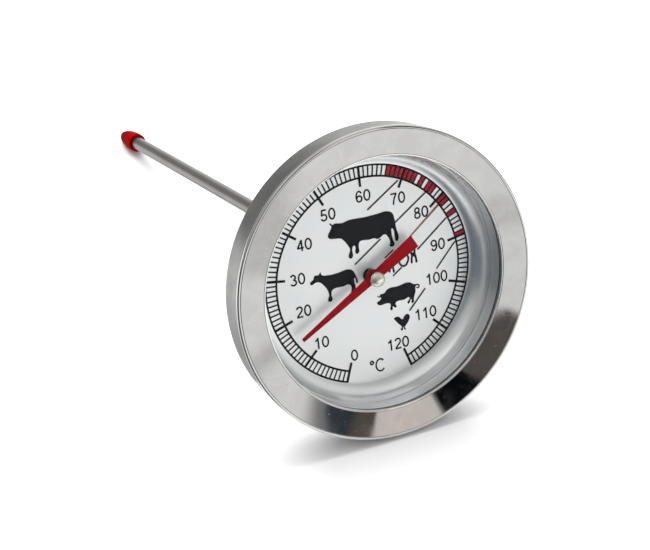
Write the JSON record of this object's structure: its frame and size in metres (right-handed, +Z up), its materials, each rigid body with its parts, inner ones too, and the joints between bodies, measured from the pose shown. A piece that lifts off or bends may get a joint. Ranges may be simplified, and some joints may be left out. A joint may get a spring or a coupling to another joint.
{
  "type": "meat thermometer",
  "caption": "Dial probe thermometer for roasts: round stainless head with a red pointer, thin bimetal stem with a pointed end under a red slip-on cap.",
  "frame": {"origin": "centre of the object's box, on the floor it lies on", "axes": "+Z up, +X to the dial's right, +Y away from the viewer: the stem runs back along +Y and 10.8 degrees down, and the dial faces -Y and slightly up"},
  "size_m": [0.0558, 0.148, 0.0557],
  "materials": {
    "polished_steel": "polished stainless with fine haze and scratches",
    "brushed_steel": "stainless brushed round its axis",
    "satin_aluminium": "satin, printed in black and red",
    "clear_glass": "clear, polished",
    "black_rubber": "matt",
    "red_silicone": "glossy",
    "red_paint": "semi-gloss paint",
    "brass": "turned",
    "bimetal_strip": "rolled strip",
    "grey_plastic": "moulded"
  },
  "bodies": {
    "thermometer": {"bezel": "polished_steel", "rear_case": "brushed_steel", "lens_gasket": "black_rubber", "lens": "clear_glass", "lens_seat_ring": "satin_aluminium", "dial": "satin_aluminium", "dial_spacer": "grey_plastic", "ferrule_washer": "brushed_steel", "ferrule_nut": "brass", "ferrule_seal": "black_rubber", "stem_ferrule": "brushed_steel", "stem_tube": "brushed_steel", "stem_tip": "brushed_steel", "upper_guide": "brass", "lower_guide": "brass", "bimetal_helix": "bimetal_strip", "helix_anchor": "brass"},
    "pointer_assembly": {"spindle": "brushed_steel", "spindle_collar": "brass", "pointer_hub": "brass", "pointer": "red_paint", "pointer_rivet": "polished_steel"},
    "cap": {"tip_cap": "red_silicone"}
  },
  "joints": [
    {"name": "pointer_turn", "type": "hinge", "parent": "thermometer", "child": "pointer_assembly", "pos_m": [0, -0.06886, 0.02829], "axis": [0, 0.9822, -0.1877], "range_deg": [-41.86, 280.14], "deforming": ["bimetal_helix"]},
    {"name": "cap_slide", "type": "slide", "parent": "thermometer", "child": "cap", "axis": [0, 0.9822, -0.1877], "range_m": [0, 0.009]}
  ]
}
